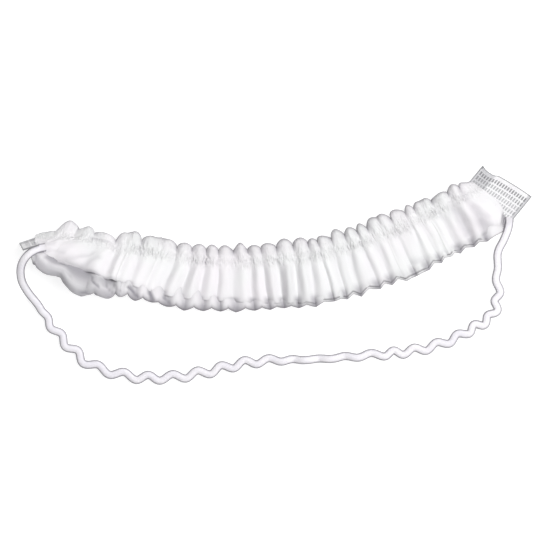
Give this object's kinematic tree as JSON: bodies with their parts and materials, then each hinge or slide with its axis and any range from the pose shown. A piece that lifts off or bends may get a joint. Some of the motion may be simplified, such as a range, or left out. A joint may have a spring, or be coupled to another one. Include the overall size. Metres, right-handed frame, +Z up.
{
  "type": "folded strip beard cover",
  "caption": "Beard cover of thin white nonwoven cloth, folded and gathered into a fluted strip with flat welded end tabs and a crimped head elastic lying loose in a loop.",
  "frame": {"origin": "bottom centre of the box round the folded strip with its two tabs, on the table it lies on", "axes": "+X along the strip to the end whose tab lies flat, +Y across it towards the gathered head edge, +Z up from the table"},
  "size_m": [0.2304, 0.0973, 0.0287],
  "materials": {
    "cloth": "matte",
    "weld": "satin",
    "elastic": "matte"
  },
  "bodies": {
    "root": {"cover": "cloth", "left_weld_tab": "weld", "right_weld_tab": "weld", "head_elastic": "elastic"}
  },
  "joints": []
}
